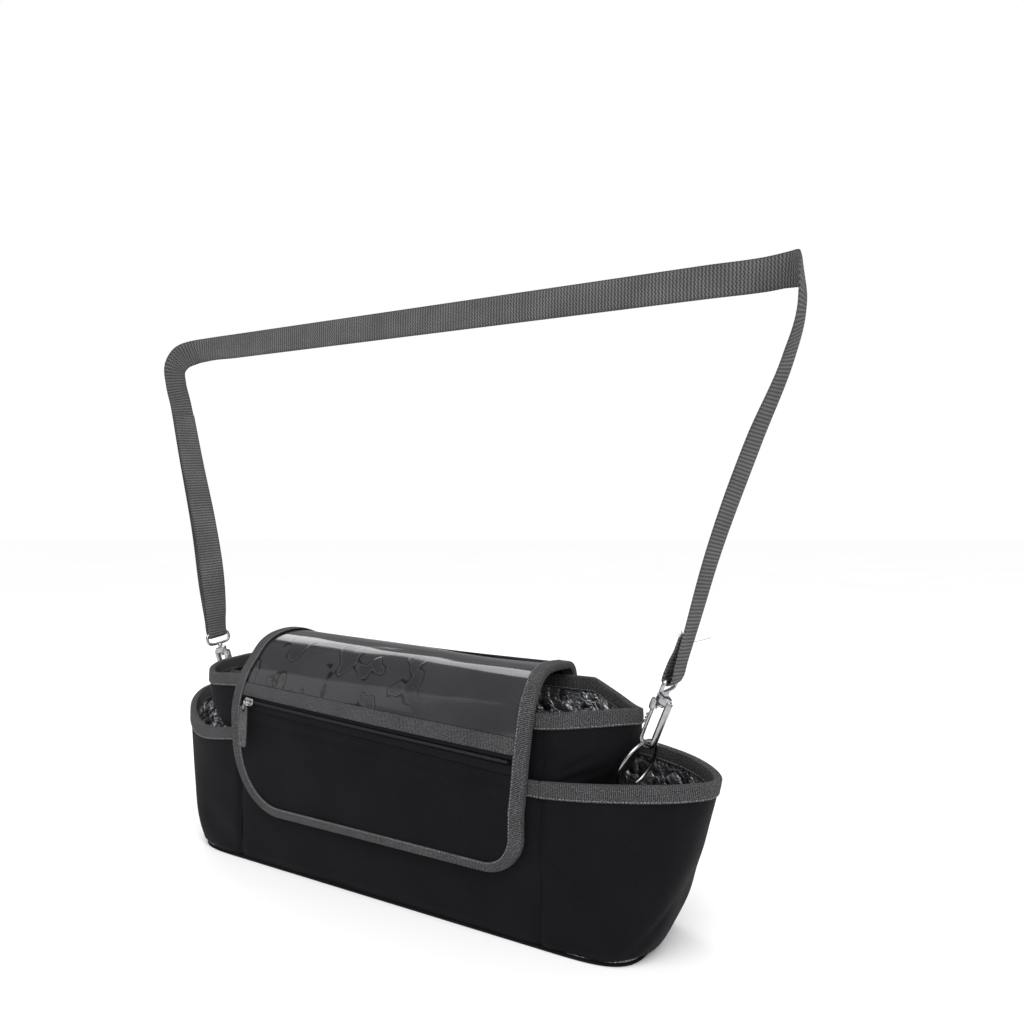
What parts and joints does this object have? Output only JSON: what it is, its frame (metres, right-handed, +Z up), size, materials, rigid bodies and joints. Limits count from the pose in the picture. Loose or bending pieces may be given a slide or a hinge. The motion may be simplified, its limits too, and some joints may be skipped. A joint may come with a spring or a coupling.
{
  "type": "stroller organizer",
  "caption": "Soft open-ended bag with flared end pockets, a zipped window flap over the middle, and a clip-on webbing strap.",
  "frame": {"origin": "middle of the base panel's underside, which the bag stands on", "axes": "+X along the bag, towards the end with the lower rim; +Y from the flap's front to the back; +Z up"},
  "size_m": [0.515, 0.1002, 0.4174],
  "materials": {
    "black_fabric": "matt woven",
    "silver_lining": "satin foil-faced",
    "grey_binding": "matt ribbed",
    "clear_window": "clear, soft",
    "zip_tape": "matt woven",
    "zip_coil_plastic": "moulded coil",
    "pull_tab": "matt",
    "nickel_wire": "bright plated",
    "grey_webbing": "woven"
  },
  "bodies": {
    "bag": {"base_panel": "black_fabric", "front_panel": "black_fabric", "back_panel": "black_fabric", "end_wall_right": "black_fabric", "end_wall_left": "black_fabric", "front_pocket": "black_fabric", "end_pocket_right": "black_fabric", "end_pocket_left": "black_fabric", "flap_panel": "black_fabric", "flap_back": "black_fabric", "flap_pocket_front": "black_fabric", "ring_tab_right": "black_fabric", "ring_tab_left": "black_fabric", "main_lining": "silver_lining", "pocket_lining_right": "silver_lining", "pocket_lining_left": "silver_lining", "main_rim_binding": "grey_binding", "front_pocket_binding": "grey_binding", "pocket_binding_right": "grey_binding", "pocket_binding_left": "grey_binding", "flap_binding": "grey_binding", "window_band": "grey_binding", "flap_window": "clear_window", "zip_tape_upper": "zip_tape", "zip_tape_lower": "zip_tape", "zip_coil": "zip_coil_plastic", "ring_right": "nickel_wire", "ring_left": "nickel_wire", "hook_eye_right": "nickel_wire", "hook_eye_left": "nickel_wire", "strap": "grey_webbing"},
    "slider": {"zip_slider": "nickel_wire"},
    "bail": {"zip_bail": "nickel_wire"},
    "pull": {"zip_pull": "pull_tab"},
    "hook_right": {"hook_body_right": "nickel_wire"},
    "hook_left": {"hook_body_left": "nickel_wire"},
    "gate_right": {"hook_gate_right": "nickel_wire"},
    "gate_left": {"hook_gate_left": "nickel_wire"}
  },
  "joints": [
    {"name": "zip_slider_slide", "type": "slide", "parent": "bag", "child": "slider", "axis": [0.9984, 0.0035, -0.0565], "range_m": [0, 0.22]},
    {"name": "bail_hinge", "type": "hinge", "parent": "slider", "child": "bail", "pos_m": [-0.11214, -0.05353, 0.12462], "axis": [-0.998, 0.003, 0.0629], "range_deg": [0, 100]},
    {"name": "pull_hinge", "type": "hinge", "parent": "bail", "child": "pull", "pos_m": [-0.11249, -0.05436, 0.11904], "axis": [-0.998, 0.003, 0.0629], "range_deg": [-5, 15]},
    {"name": "hook_swivel_right", "type": "hinge", "parent": "bag", "child": "hook_right", "pos_m": [0.1845, -0.005, 0.1245], "axis": [0.4, -0.11, 0.9099], "range_deg": [-20, 20]},
    {"name": "hook_swivel_left", "type": "hinge", "parent": "bag", "child": "hook_left", "pos_m": [-0.198, 0.0048, 0.1216], "axis": [-0.2401, -0.1401, 0.9606], "range_deg": [-20, 20]},
    {"name": "gate_hinge_right", "type": "hinge", "parent": "hook_right", "child": "gate_right", "pos_m": [0.18925, -0.00637, 0.14643], "axis": [-0.2523, -0.9676, -0.0061], "range_deg": [0, 20], "stiffness_Nm_per_rad": 0.01, "springref_deg": -11.46},
    {"name": "gate_hinge_left", "type": "hinge", "parent": "hook_left", "child": "gate_left", "pos_m": [-0.19899, 0.00282, 0.14397], "axis": [-0.2685, 0.9605, 0.0729], "range_deg": [0, 20], "stiffness_Nm_per_rad": 0.01, "springref_deg": -11.46}
  ]
}
